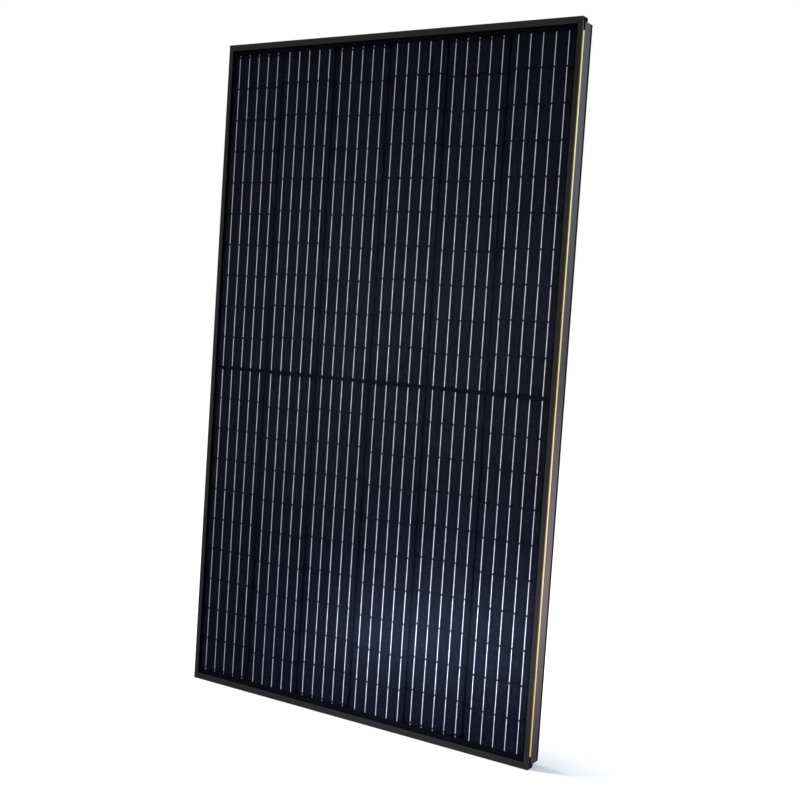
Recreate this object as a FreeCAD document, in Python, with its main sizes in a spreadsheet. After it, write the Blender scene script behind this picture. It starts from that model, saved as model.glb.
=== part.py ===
import FreeCAD, Part
import math
import os
import Sketcher

# A framed photovoltaic module standing upright: X runs across it, Z up along it,
# and Y from its glass (negative) to its back. The origin is the middle of the
# plane that the rear flanges lie in, where the module meets its rack.
# Every cross-section is drawn from two measures: how far in from the outer
# face of the frame, and how deep behind the front of the frame.

doc = FreeCAD.newDocument("SolarModule")
sheet = doc.addObject("Spreadsheet::Sheet", "Sizes")

DRIVING = [
    ("module_width", 1002.0, "outer width across the long rails"),
    ("module_height", 1672.0, "outer height over the end members"),
    ("frame_depth", 50.0, "front of the lip to the rear flange"),
    ("rail_lip", 12.0, "width of the lip of a long rail"),
    ("end_lip", 15.0, "width of the lip of an end member"),
    ("lip_thick", 1.8, "thickness of every lip"),
    ("wall_thick", 1.6, "thickness of the frame walls"),
    ("flange_thick", 1.8, "thickness of the rear flange"),
    ("rail_flange", 30.0, "width of the rear flange of a rail"),
    ("chamber_back", 36.0, "depth of the back of the closed chamber"),
    ("head_step", 9.0, "how far the head of an end member stands past its body"),
    ("head_deep", 24.0, "depth of that head"),
    ("groove_front", 4.5, "front edge of the side groove"),
    ("groove_wide", 8.0, "width of the side groove"),
    ("groove_deep", 3.2, "depth of the side groove into the rail"),
    ("heel_front", 41.5, "front edge of the clamp groove by the rear flange"),
    ("heel_deep", 3.2, "depth of the clamp groove into the rail"),
    ("strip_setback", 20.0, "side strip ends this short of its rail"),
    ("strip_round", 1.6, "rounding of the side strip"),
    ("glass_thick", 3.2, "front glass"),
    ("film_thick", 0.45, "one encapsulant film"),
    ("mask_thick", 0.15, "black masking strip"),
    ("ribbon_thick", 0.25, "tinned ribbon"),
    ("ribbon_wide", 1.5, "width of a tinned ribbon"),
    ("cell_thick", 0.2, "silicon cell"),
    ("sheet_thick", 0.35, "rear sheet"),
    ("seal_face", 0.55, "edge tape between the laminate and the frame faces"),
    ("seal_edge", 1.0, "edge tape around the rim of the laminate"),
    ("seal_short", 1.0, "edge tape ends this far behind the edge of the lip"),
    ("side_margin", 5.5, "clear strip between a rail lip and the cells"),
    ("end_margin", 13.2, "clear strip between an end lip and the nearest cells"),
    ("column_gap", 5.3, "gap between two cell columns"),
    ("row_gap", 1.825, "gap between two half cells of a column"),
    ("centre_clear", 4.9, "centre line to the first cells of an odd column"),
    ("string_shift", 2.7, "even columns start this much further out"),
    ("cell_corner", 8.25, "leg of the two cut corners of a half cell"),
    ("busbar_pitch", 31.2, "distance between ribbons on a cell"),
    ("ribbon_short", 4.9, "a ribbon stops this short of the far edge"),
    ("tail_short", 0.4, "the innermost ribbon of an even column stops this short of its cell's edge"),
    ("bus_wide", 6.0, "width of a cross ribbon"),
    ("bus_offset", 2.3, "cells of an even column to the end cross ribbon"),
    ("bus_gap", 6.0, "gap between neighbouring cross ribbons"),
    ("mask_half", 5.0, "half the width of the centre masking strip"),
    ("key_leg", 70.0, "length of each leg of a corner key"),
    ("key_thick", 2.2, "thickness of a corner key"),
    ("key_gap", 0.3, "clearance of a corner key in its chamber"),
    ("slot_wide", 9.0, "width of a mounting slot"),
    ("slot_long", 14.0, "end to end length of a mounting slot"),
    ("slot_inset", 15.0, "outer face of a rail to the mounting slots"),
    ("outer_span", 1300.0, "distance between the outer slots of a rail"),
    ("inner_span", 990.0, "distance between the inner slots of a rail"),
    ("earth_hole", 4.2, "diameter of an earthing hole"),
    ("earth_span", 1100.0, "distance between the earthing holes of a rail"),
    ("drain_wide", 5.0, "width of a drain slot in an end member"),
    ("drain_long", 12.0, "length of a drain slot"),
    ("drain_corner", 60.0, "outer face of a rail to a drain slot"),
    ("box_wide", 74.0, "junction box across the module"),
    ("box_high", 46.0, "junction box along the module"),
    ("box_deep", 14.0, "junction box base, glue line to rim"),
    ("box_wall", 2.0, "wall of the junction box"),
    ("box_round", 5.0, "rounding of the upright box edges"),
    ("bead_thick", 1.0, "silicone under a junction box"),
    ("bead_spread", 2.5, "silicone squeezed out past the box"),
    ("lid_thick", 2.4, "junction box lid"),
    ("lid_inset", 0.2, "clearance of the lid rim in the box"),
    ("rim_deep", 3.0, "how far the lid rim reaches in"),
    ("potting_deep", 2.5, "potting on the floor of the box"),
    ("clip_thick", 1.2, "contact rail in a junction box"),
    ("clip_tall", 4.5, "height of a contact rail over the potting"),
    ("clip_long", 26.0, "length of a contact rail"),
    ("clip_span", 34.0, "distance between the two contact rails"),
    ("diode_long", 12.0, "bypass diode body"),
    ("diode_radius", 2.2, "radius of the bypass diode body"),
    ("lead_radius", 0.5, "radius of a diode lead"),
    ("gland_radius", 5.5, "outer radius of a cable gland"),
    ("gland_bore", 3.1, "radius of the hole for the cable"),
    ("gland_long", 13.0, "length of a cable gland outside its box"),
    ("nut_flats", 15.0, "width across the flats of the gland nut"),
    ("nut_long", 6.0, "length of the gland nut"),
]

COLUMNS = 6
ROWS_PER_HALF = 10
BUSBARS = 5
SIDES = {"left": -1, "right": 1}
ENDS = {"bottom": -1, "top": 1}

for row, (alias, number, meaning) in enumerate(DRIVING, start=1):
    sheet.set(f"A{row}", meaning)
    sheet.set(f"B{row}", str(number))
    sheet.setAlias(f"B{row}", alias)
doc.recompute()


class Size:
    """A length: its value now, and the sheet expression that gives it."""

    def __init__(self, value, text):
        self.value = value
        self.text = text

    def __add__(self, other):
        other = as_size(other)
        return Size(self.value + other.value, f"({self.text} + {other.text})")

    def __sub__(self, other):
        other = as_size(other)
        return Size(self.value - other.value, f"({self.text} - {other.text})")

    def __mul__(self, other):
        other = as_size(other)
        return Size(self.value * other.value, f"({self.text} * {other.text})")

    def __truediv__(self, other):
        other = as_size(other)
        return Size(self.value / other.value, f"({self.text} / {other.text})")

    def __neg__(self):
        return self * -1


def as_size(number):
    if isinstance(number, Size):
        return number
    return Size(float(number), f"({number})")


def size(alias):
    return Size(float(sheet.get(alias)), f"Sizes.{alias}")


class Named:
    """The driving sizes as attributes, so a formula reads like a drawing note."""

    def __getattr__(self, alias):
        return size(alias)


d = Named()

# ---- places worked out from the driving sizes --------------------------------

half_width = d.module_width / 2
half_height = d.module_height / 2
rail_end = half_height - d.head_step
mitre_slope = (d.end_lip - d.head_step) / d.rail_lip
end_flange = d.rail_flange * mitre_slope

glass_front = d.lip_thick + d.seal_face
glass_back = glass_front + d.glass_thick
mask_back = glass_back + d.mask_thick
front_film_back = mask_back + d.film_thick
cell_front = front_film_back + d.ribbon_thick
cell_back = cell_front + d.cell_thick
ribbon_back = cell_back + d.ribbon_thick
rear_film_back = ribbon_back + d.film_thick
sheet_back = rear_film_back + d.sheet_thick
slot_back = sheet_back + d.seal_face
shelf_back = slot_back + d.wall_thick

groove_back = d.groove_front + d.groove_wide
rail_slot_floor = d.groove_deep + d.wall_thick
laminate_half_width = half_width - rail_slot_floor - d.seal_edge
laminate_half_height = half_height - d.wall_thick - d.seal_edge

cells_half_width = half_width - d.rail_lip - d.side_margin
cell_width = (cells_half_width * 2 - d.column_gap * (COLUMNS - 1)) / COLUMNS
column_pitch = cell_width + d.column_gap
cells_top = half_height - d.end_lip - d.end_margin
first_shifted = d.centre_clear + d.string_shift
cell_height = (cells_top - first_shifted - d.row_gap * (ROWS_PER_HALF - 1)) / ROWS_PER_HALF
row_pitch = cell_height + d.row_gap
bus_start = cells_top + d.bus_offset

box_floor = sheet_back + d.bead_thick
box_rim = box_floor + d.box_deep
box_spacing = column_pitch * 2


def depth(behind_front):
    """The Y of a plane that lies this far behind the front of the frame."""
    return as_size(behind_front) - d.frame_depth


def column_x(column):
    """The X of the middle of a cell column; columns count from 1 at the left."""
    return column_pitch * (column - (COLUMNS + 1) / 2)


def first_cell(column):
    """Where the first cell of a column starts, out from the centre line."""
    return d.centre_clear if column % 2 == 1 else first_shifted


# ---- small tools for making document objects ---------------------------------


def bind(thing, **properties):
    """Tie properties of an object to the sheet."""
    for name, length in properties.items():
        thing.setExpression(name, as_size(length).text)
        if not name.startswith("Placement"):
            setattr(thing, name, as_size(length).value)


def move_to(thing, x, y, z):
    """Tie the place of an object to the sheet."""
    for name, length in zip("xyz", (x, y, z)):
        thing.setExpression(f"Placement.Base.{name}", as_size(length).text)


def new_body(label):
    body = doc.addObject("PartDesign::Body", label)
    body.Label = label
    return body


def origin_part(body, role):
    return next(part for part in body.Origin.OriginFeatures if part.Role == role)


def new_sketch(body, name, plane):
    """An empty sketch on one of the body's own planes.

    On XY_Plane a sketch reads (X, Y); on XZ_Plane (X, Z); on YZ_Plane (Y, Z).
    """
    sketch = body.newObject("Sketcher::SketchObject", name)
    sketch.AttachmentSupport = [(origin_part(body, plane), "")]
    sketch.MapMode = "FlatFace"
    return sketch


def pin_point(sketch, edge, end, across, up):
    """Fix one point of an edge with two dimensions tied to the sheet."""
    for kind, length in (("DistanceX", across), ("DistanceY", up)):
        length = as_size(length)
        index = sketch.addConstraint(Sketcher.Constraint(kind, -1, 1, edge, end, length.value))
        sketch.setExpression(f"Constraints[{index}]", length.text)


def add_outline(sketch, corners):
    """A closed outline of straight lines through the corners."""
    corners = [(as_size(across), as_size(up)) for across, up in corners]
    points = [FreeCAD.Vector(across.value, up.value, 0) for across, up in corners]
    first = sketch.GeometryCount
    count = len(points)
    for index in range(count):
        sketch.addGeometry(Part.LineSegment(points[index], points[(index + 1) % count]), False)
    for index in range(count):
        joined = Sketcher.Constraint("Coincident", first + index, 2, first + (index + 1) % count, 1)
        sketch.addConstraint(joined)
    for index, (across, up) in enumerate(corners):
        pin_point(sketch, first + index, 1, across, up)


def add_circle(sketch, across, up, radius):
    centre = FreeCAD.Vector(across.value, up.value, 0)
    circle = Part.Circle(centre, FreeCAD.Vector(0, 0, 1), radius.value)
    edge = sketch.addGeometry(circle, False)
    pin_point(sketch, edge, 3, across, up)
    index = sketch.addConstraint(Sketcher.Constraint("Radius", edge, radius.value))
    sketch.setExpression(f"Constraints[{index}]", radius.text)


def add_slot(sketch, across, up, long, wide, upright):
    """A slot with round ends, centred on a point, along the sketch's up or across."""
    radius = wide / 2
    reach = (long - wide) / 2
    ends = []
    for sign in (1, -1):
        if upright:
            ends.append((across, up + reach * sign))
        else:
            ends.append((across + reach * sign, up))
    start = 0.0 if upright else -math.pi / 2
    arcs = []
    for turn, (centre_across, centre_up) in enumerate(ends):
        centre = FreeCAD.Vector(centre_across.value, centre_up.value, 0)
        whole = Part.Circle(centre, FreeCAD.Vector(0, 0, 1), radius.value)
        begin = start + turn * math.pi
        arc = sketch.addGeometry(Part.ArcOfCircle(whole, begin, begin + math.pi), False)
        pin_point(sketch, arc, 3, centre_across, centre_up)
        index = sketch.addConstraint(Sketcher.Constraint("Radius", arc, radius.value))
        sketch.setExpression(f"Constraints[{index}]", radius.text)
        arcs.append(arc)
    for one, other in (arcs, arcs[::-1]):
        leaving = sketch.Geometry[one].EndPoint
        arriving = sketch.Geometry[other].StartPoint
        line = sketch.addGeometry(Part.LineSegment(leaving, arriving), False)
        sketch.addConstraint(Sketcher.Constraint("Tangent", one, 2, line, 1))
        sketch.addConstraint(Sketcher.Constraint("Tangent", line, 2, other, 1))


def add_pad(body, name, sketch, length):
    """A pad that grows equally to both sides of its sketch."""
    pad = body.newObject("PartDesign::Pad", name)
    pad.Profile = sketch
    pad.SideType = "Symmetric"
    pad.Refine = True
    bind(pad, Length=length)
    return pad


def add_pocket(body, name, sketch, length=None, reverse=False):
    """A pocket of a given depth, or right through to both sides."""
    pocket = body.newObject("PartDesign::Pocket", name)
    pocket.Profile = sketch
    if length is None:
        pocket.Type = "ThroughAll"
        pocket.SideType = "Symmetric"
    else:
        pocket.Reversed = reverse
        bind(pocket, Length=length)
    return pocket


def add_row_pattern(body, axis, span, count):
    """A linear pattern to use inside a multi-transform; span is first to last."""
    pattern = body.newObject("PartDesign::LinearPattern", f"row_along_{axis[0].lower()}")
    pattern.Direction = (origin_part(body, axis), [""])
    pattern.Mode = "Extent"
    pattern.Occurrences = count
    bind(pattern, Length=span)
    return pattern


def add_mirror(body, plane):
    mirror = body.newObject("PartDesign::Mirrored", "mirror")
    mirror.MirrorPlane = (origin_part(body, plane), [""])
    return mirror


def repeat(body, name, originals, transformations):
    """Repeat finished features with a chain of patterns and mirrors."""
    several = body.newObject("PartDesign::MultiTransform", name)
    several.Originals = originals
    several.Transformations = transformations
    body.Tip = several
    return several


def new_block(label, low, high):
    """A rectangular block between two corners, each given as three sizes."""
    block = doc.addObject("Part::Box", label)
    block.Label = label
    bind(block, Length=high[0] - low[0], Width=high[1] - low[1], Height=high[2] - low[2])
    move_to(block, *low)
    return block


def new_cylinder(label, radius, length, place):
    """A cylinder that starts at a place and runs along +X."""
    cylinder = doc.addObject("Part::Cylinder", label)
    cylinder.Label = label
    bind(cylinder, Radius=radius, Height=length)
    across = FreeCAD.Rotation(FreeCAD.Vector(0, 1, 0), 90)
    cylinder.Placement = FreeCAD.Placement(FreeCAD.Vector(), across)
    move_to(cylinder, *place)
    return cylinder


subparts = []


def keep(thing):
    """Count an object as one of the pieces that the module is made of."""
    subparts.append(thing)
    return thing


# ---- frame -------------------------------------------------------------------


def long_rail(side):
    """A long rail: one extrusion with mitred ends, slotted in its rear flange."""
    sign = SIDES[side]
    body = new_body(f"frame_rail_{side}")

    def at(inward, behind_front):
        return ((half_width - inward) * sign, depth(behind_front))

    wall = d.wall_thick
    flange_front = d.frame_depth - d.flange_thick
    section = new_sketch(body, "section", "XY_Plane")
    add_outline(section, [
        at(0, 0),
        at(d.rail_lip, 0),
        at(d.rail_lip, d.lip_thick),
        at(rail_slot_floor, d.lip_thick),
        at(rail_slot_floor, slot_back),
        at(d.rail_lip, slot_back),
        at(d.rail_lip, d.chamber_back),
        at(wall, d.chamber_back),
        at(wall, d.heel_front - wall),
        at(d.heel_deep + wall, d.heel_front - wall),
        at(d.heel_deep + wall, flange_front),
        at(d.rail_flange, flange_front),
        at(d.rail_flange, d.frame_depth),
        at(0, d.frame_depth),
        at(0, flange_front),
        at(d.heel_deep, flange_front),
        at(d.heel_deep, d.heel_front),
        at(0, d.heel_front),
        at(0, groove_back),
        at(d.groove_deep, groove_back),
        at(d.groove_deep, d.groove_front),
        at(0, d.groove_front),
    ])
    add_outline(section, [
        at(d.rail_lip - wall, shelf_back),
        at(d.rail_lip - wall, d.chamber_back - wall),
        at(wall, d.chamber_back - wall),
        at(wall, groove_back + wall),
        at(rail_slot_floor, groove_back + wall),
        at(rail_slot_floor, shelf_back),
    ])
    add_pad(body, "extrusion", section, rail_end * 2)

    mitre = new_sketch(body, "mitre", "XZ_Plane")
    for end in ENDS.values():
        add_outline(mitre, [
            (half_width * sign, rail_end * end),
            ((half_width - d.rail_flange * 2) * sign, rail_end * end),
            ((half_width - d.rail_flange * 2) * sign, (rail_end - end_flange * 2) * end),
        ])
    add_pocket(body, "mitre_cut", mitre)

    holes = new_sketch(body, "flange_holes", "XZ_Plane")
    across = (half_width - d.slot_inset) * sign
    for end in ENDS.values():
        for span in (d.outer_span, d.inner_span):
            add_slot(holes, across, span / 2 * end, d.slot_long, d.slot_wide, upright=True)
        add_circle(holes, across, d.earth_span / 2 * end, d.earth_hole / 2)
    add_pocket(body, "flange_cut", holes, d.flange_thick + d.wall_thick, reverse=True)
    return body


def end_member(end):
    """A top or bottom member: its head runs the full width over the rail ends."""
    sign = ENDS[end]
    body = new_body(f"frame_end_{end}")

    def at(inward, behind_front):
        return (depth(behind_front), (half_height - inward) * sign)

    wall = d.wall_thick
    flange_front = d.frame_depth - d.flange_thick
    section = new_sketch(body, "section", "YZ_Plane")
    add_outline(section, [
        at(0, 0),
        at(d.end_lip, 0),
        at(d.end_lip, d.lip_thick),
        at(wall, d.lip_thick),
        at(wall, slot_back),
        at(d.end_lip, slot_back),
        at(d.end_lip, d.chamber_back),
        at(d.head_step + wall, d.chamber_back),
        at(d.head_step + wall, flange_front),
        at(d.head_step + end_flange, flange_front),
        at(d.head_step + end_flange, d.frame_depth),
        at(d.head_step, d.frame_depth),
        at(d.head_step, d.head_deep),
        at(0, d.head_deep),
    ])
    add_outline(section, [
        at(wall, shelf_back),
        at(d.end_lip - wall, shelf_back),
        at(d.end_lip - wall, d.chamber_back - wall),
        at(d.head_step + wall, d.chamber_back - wall),
        at(d.head_step + wall, d.head_deep - wall),
        at(wall, d.head_deep - wall),
    ])
    add_pad(body, "extrusion", section, d.module_width)

    mitre = new_sketch(body, "mitre", "XZ_Plane")
    reach = d.rail_flange * 2
    for side in SIDES.values():
        add_outline(mitre, [
            (half_width * side, rail_end * sign),
            (half_width * side, (rail_end - reach * mitre_slope) * sign),
            ((half_width - reach) * side, (rail_end - reach * mitre_slope) * sign),
        ])
    add_pocket(body, "mitre_cut", mitre)

    drains = new_sketch(body, "drain_slots", "XZ_Plane")
    up = (rail_end - (end_flange + wall) / 2) * sign
    for side in SIDES.values():
        across = (half_width - d.drain_corner) * side
        add_slot(drains, across, up, d.drain_long, d.drain_wide, upright=False)
    add_pocket(body, "drain_cut", drains, d.flange_thick + d.wall_thick, reverse=True)
    return body


def corner_key(side, end):
    """An angle of sheet metal pushed into the chambers of two members at a corner."""
    across = SIDES[side]
    up = ENDS[end]
    body = new_body(f"corner_key_{end}_{side}")

    def at(inward, from_end):
        return ((half_width - inward) * across, (rail_end - from_end) * up)

    outer = d.wall_thick + d.key_gap
    inner = outer + d.key_thick
    outline = new_sketch(body, "angle", "XZ_Plane")
    add_outline(outline, [
        at(outer, outer),
        at(d.key_leg, outer),
        at(d.key_leg, inner),
        at(inner, inner),
        at(inner, d.key_leg),
        at(outer, d.key_leg),
    ])
    front = d.head_deep
    back = d.chamber_back - d.wall_thick - d.key_gap
    pad = add_pad(body, "bent_sheet", outline, back - front)
    outline.setExpression("AttachmentOffset.Base.z", (-(depth((front + back) / 2))).text)
    body.Tip = pad
    return body


def side_strip(side):
    """The rounded strip pressed into the outer groove of a rail."""
    sign = SIDES[side]
    body = new_body(f"side_strip_{side}")
    section = new_sketch(body, "section", "XY_Plane")
    add_outline(section, [
        ((half_width - d.groove_deep) * sign, depth(d.groove_front)),
        (half_width * sign, depth(d.groove_front)),
        (half_width * sign, depth(groove_back)),
        ((half_width - d.groove_deep) * sign, depth(groove_back)),
    ])
    add_pad(body, "extrusion", section, (rail_end - d.strip_setback) * 2)
    doc.recompute()
    outer_edges = []
    for number, edge in enumerate(body.Shape.Edges, start=1):
        box = edge.BoundBox
        if box.ZLength > d.wall_thick.value and abs(abs(box.Center.x) - half_width.value) < 0.01:
            outer_edges.append(f"Edge{number}")
    solid = body.Tip
    fillet = body.newObject("PartDesign::Fillet", "rounding")
    fillet.Base = (solid, outer_edges)
    bind(fillet, Radius=d.strip_round)
    return body


# ---- laminate ----------------------------------------------------------------


def full_sheet(label, front, back):
    """A sheet of the laminate that covers its whole area."""
    low = (-laminate_half_width, depth(front), -laminate_half_height)
    high = (laminate_half_width, depth(back), laminate_half_height)
    return new_block(label, low, high)


def edge_tape_rail(side):
    """Tape folded round the long edge of the laminate, inside the rail slot."""
    sign = SIDES[side]
    body = new_body(f"edge_tape_{side}")

    def at(inward, behind_front):
        return ((half_width - inward) * sign, depth(behind_front))

    lip = d.rail_lip - d.seal_short
    rim = rail_slot_floor + d.seal_edge
    section = new_sketch(body, "section", "XY_Plane")
    add_outline(section, [
        at(lip, d.lip_thick),
        at(lip, glass_front),
        at(rim, glass_front),
        at(rim, sheet_back),
        at(lip, sheet_back),
        at(lip, slot_back),
        at(rail_slot_floor, slot_back),
        at(rail_slot_floor, d.lip_thick),
    ])
    add_pad(body, "tape", section, (half_height - d.end_lip) * 2)
    return body


def edge_tape_end(end):
    """Tape folded round a short edge of the laminate, inside the end member."""
    sign = ENDS[end]
    body = new_body(f"edge_tape_{end}")

    def at(inward, behind_front):
        return (depth(behind_front), (half_height - inward) * sign)

    lip = d.end_lip - d.seal_short
    rim = d.wall_thick + d.seal_edge
    section = new_sketch(body, "section", "YZ_Plane")
    add_outline(section, [
        at(lip, d.lip_thick),
        at(lip, glass_front),
        at(rim, glass_front),
        at(rim, sheet_back),
        at(lip, sheet_back),
        at(lip, slot_back),
        at(d.wall_thick, slot_back),
        at(d.wall_thick, d.lip_thick),
    ])
    add_pad(body, "tape", section, (half_width - rail_slot_floor) * 2)
    return body


def masking_strip(label, low_z, high_z):
    """A black strip behind the glass that covers the cross ribbons."""
    reach = cells_half_width
    low = (-reach, depth(glass_back), low_z)
    high = (reach, depth(mask_back), high_z)
    return new_block(label, low, high)


def cell_column(column):
    """The half cells of one column: ten above the centre line and ten below."""
    body = new_body(f"cells_column_{column}")
    start = first_cell(column)
    half = cell_width / 2
    middle = column_x(column)
    corner = d.cell_corner
    outline = new_sketch(body, "half_cell", "XZ_Plane")
    add_outline(outline, [
        (middle - half, start),
        (middle + half, start),
        (middle + half, start + cell_height - corner),
        (middle + half - corner, start + cell_height),
        (middle - half + corner, start + cell_height),
        (middle - half, start + cell_height - corner),
    ])
    outline.setExpression("AttachmentOffset.Base.z", (-(depth((cell_front + cell_back) / 2))).text)
    pad = add_pad(body, "wafer", outline, d.cell_thick)
    rows = add_row_pattern(body, "Z_Axis", row_pitch * (ROWS_PER_HALF - 1), ROWS_PER_HALF)
    halves = add_mirror(body, "XY_Plane")
    repeat(body, "all_rows", [pad], [rows, halves])
    return body


def ribbon_column(column):
    """The ribbons of one column: each runs over one cell and under the next.

    In an odd column a ribbon dips behind the cell nearer the centre line; in
    an even column, wired the other way round, behind the cell further out.
    """
    body = new_body(f"ribbons_column_{column}")
    dips_inward = column % 2 == 1
    start = first_cell(column)
    front = depth(front_film_back)
    over = depth(cell_front)
    under = depth(cell_back)
    back = depth(ribbon_back)
    step = d.ribbon_thick / 2
    gap_middle = start + cell_height + d.row_gap / 2
    inner_stop = start + d.ribbon_short
    outer_stop = start + row_pitch + cell_height - d.ribbon_short

    def crossing(over_stop, under_stop, sign):
        """A ribbon that goes down through a gap; sign is towards its front run."""
        near = gap_middle + step * sign
        far = gap_middle - step * sign
        return [
            (front, over_stop),
            (over, over_stop),
            (over, near),
            (back, near),
            (back, under_stop),
            (under, under_stop),
            (under, far),
            (front, far),
        ]

    def flat_run(near_plane, far_plane, low, high):
        return [(near_plane, low), (near_plane, high), (far_plane, high), (far_plane, low)]

    last_start = start + row_pitch * (ROWS_PER_HALF - 1)
    last_end = last_start + cell_height
    bus_end = bus_start + d.bus_wide
    if dips_inward:
        hop = crossing(outer_stop, inner_stop, 1)
        inner_run = flat_run(front, over, d.ribbon_thick, start + cell_height - d.ribbon_short)
        outer_run = flat_run(under, back, last_start + d.ribbon_short, bus_end)
    else:
        hop = crossing(inner_stop, outer_stop, -1)
        inner_run = flat_run(under, back, d.ribbon_thick, start + cell_height - d.ribbon_short)
        outer_run = flat_run(front, over, last_end - cell_height + d.ribbon_short, bus_end)

    pads = []
    outlines = {"hop": hop, "inner_run": inner_run, "outer_run": outer_run}
    if not dips_inward:
        outlines["tail"] = flat_run(front, over, start + d.tail_short, inner_stop)
    first_bar = column_x(column) - d.busbar_pitch * ((BUSBARS - 1) / 2)
    for name, outline in outlines.items():
        sketch = new_sketch(body, f"{name}_outline", "YZ_Plane")
        add_outline(sketch, outline)
        sketch.setExpression("AttachmentOffset.Base.z", first_bar.text)
        pads.append(add_pad(body, name, sketch, d.ribbon_wide))

    bars_span = d.busbar_pitch * (BUSBARS - 1)
    hops = ROWS_PER_HALF - 1
    rows = add_row_pattern(body, "Z_Axis", row_pitch * (hops - 1), hops)
    halves = add_mirror(body, "XY_Plane")
    bars = add_row_pattern(body, "X_Axis", bars_span, BUSBARS)
    repeat(body, "all_hops", [pads[0]], [rows, halves, bars])
    halves_again = add_mirror(body, "XY_Plane")
    bars_again = add_row_pattern(body, "X_Axis", bars_span, BUSBARS)
    repeat(body, "all_ends", pads[1:], [halves_again, bars_again])
    return body


def cross_ribbon(label, groups, low_z):
    """Flat ribbons that join columns; each group is a first and a last column."""
    body = new_body(label)
    outline = new_sketch(body, "ribbons", "XZ_Plane")
    overhang = column_pitch / 2 - d.bus_gap / 2
    for first, last in groups:
        left = column_x(first) - overhang
        right = column_x(last) + overhang
        add_outline(outline, [
            (left, low_z),
            (right, low_z),
            (right, low_z + d.bus_wide),
            (left, low_z + d.bus_wide),
        ])
    outline.setExpression("AttachmentOffset.Base.z", (-(depth((cell_front + cell_back) / 2))).text)
    add_pad(body, "flat", outline, d.cell_thick)
    return body


# ---- junction boxes ----------------------------------------------------------


def box_outline(sketch, middle, grow):
    """A rectangle around the middle of a box, larger or smaller than the box."""
    wide = d.box_wide / 2 + grow
    high = d.box_high / 2 + grow
    add_outline(sketch, [
        (middle - wide, -high),
        (middle + wide, -high),
        (middle + wide, high),
        (middle - wide, high),
    ])


def box_layer(body, name, middle, grow, front, back, cut=False):
    """Add or cut a rectangular layer of a box between two depths."""
    sketch = new_sketch(body, f"{name}_outline", "XZ_Plane")
    box_outline(sketch, middle, grow)
    sketch.setExpression("AttachmentOffset.Base.z", (-(depth((front + back) / 2))).text)
    if not cut:
        return add_pad(body, name, sketch, back - front)
    pocket = body.newObject("PartDesign::Pocket", name)
    pocket.Profile = sketch
    pocket.SideType = "Symmetric"
    bind(pocket, Length=back - front)
    return pocket


def round_upright_edges(body, radius):
    """Fillet the edges that run along Y at the outside of a body."""
    doc.recompute()
    box = body.Shape.BoundBox
    names = []
    for number, edge in enumerate(body.Shape.Edges, start=1):
        edge_box = edge.BoundBox
        outside_x = min(abs(edge_box.Center.x - box.XMin), abs(edge_box.Center.x - box.XMax)) < 0.01
        outside_z = min(abs(edge_box.Center.z - box.ZMin), abs(edge_box.Center.z - box.ZMax)) < 0.01
        if edge_box.XLength < 0.01 and edge_box.ZLength < 0.01 and outside_x and outside_z:
            names.append(f"Edge{number}")
    solid = body.Tip
    fillet = body.newObject("PartDesign::Fillet", "rounding")
    fillet.Base = (solid, names)
    bind(fillet, Radius=radius)


def junction_box(name, middle, gland_side):
    """A small box over the end of two cross ribbons, with its bypass diode."""
    inside = -d.box_wall

    bead = new_body(f"box_bead_{name}")
    box_layer(bead, "bead", middle, d.bead_spread, sheet_back, box_floor)
    round_upright_edges(bead, d.box_round)
    keep(bead)

    base = new_body(f"box_base_{name}")
    box_layer(base, "shell", middle, as_size(0), box_floor, box_rim)
    round_upright_edges(base, d.box_round)
    box_layer(base, "hollow", middle, inside, box_floor + d.box_wall, box_rim, cut=True)
    if gland_side:
        across = middle + d.box_wide / 4 * gland_side
        passage = new_sketch(base, "cable_passage", "XY_Plane")
        add_circle(passage, across, depth((box_floor + box_rim) / 2), d.gland_bore)
        hole = base.newObject("PartDesign::Pocket", "cable_hole")
        hole.Profile = passage
        bind(hole, Length=d.box_high)
    keep(base)

    potting_front = box_floor + d.box_wall
    potting_top = potting_front + d.potting_deep
    wide = d.box_wide / 2 - d.box_wall
    high = d.box_high / 2 - d.box_wall
    keep(new_block(
        f"box_potting_{name}",
        (middle - wide, depth(potting_front), -high),
        (middle + wide, depth(potting_top), high),
    ))

    clips = new_body(f"box_contacts_{name}")
    outline = new_sketch(clips, "rails", "XY_Plane")
    for side in SIDES.values():
        centre = middle + d.clip_span / 2 * side
        add_outline(outline, [
            (centre - d.clip_thick / 2, depth(potting_top)),
            (centre + d.clip_thick / 2, depth(potting_top)),
            (centre + d.clip_thick / 2, depth(potting_top + d.clip_tall)),
            (centre - d.clip_thick / 2, depth(potting_top + d.clip_tall)),
        ])
    add_pad(clips, "contact_rails", outline, d.clip_long)
    keep(clips)

    axis_depth = depth(potting_top + d.clip_tall / 2)
    lead_long = d.clip_span - d.clip_thick
    lead_place = (middle - lead_long / 2, axis_depth, as_size(0))
    barrel_place = (middle - d.diode_long / 2, axis_depth, as_size(0))
    leads = new_cylinder(f"diode_leads_{name}", d.lead_radius, lead_long, lead_place)
    barrel = new_cylinder(f"diode_barrel_{name}", d.diode_radius, d.diode_long, barrel_place)
    diode = doc.addObject("Part::Fuse", f"box_diode_{name}")
    diode.Base = barrel
    diode.Tool = leads
    diode.Label = f"box_diode_{name}"
    keep(diode)

    lid = new_body(f"box_lid_{name}")
    box_layer(lid, "plate", middle, as_size(0), box_rim, box_rim + d.lid_thick)
    round_upright_edges(lid, d.box_round)
    rim = inside - d.lid_inset
    box_layer(lid, "rim", middle, rim, box_rim - d.rim_deep, box_rim)
    box_layer(lid, "rim_hollow", middle, rim - d.box_wall, box_rim - d.rim_deep, box_rim, cut=True)
    keep(lid)


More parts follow.
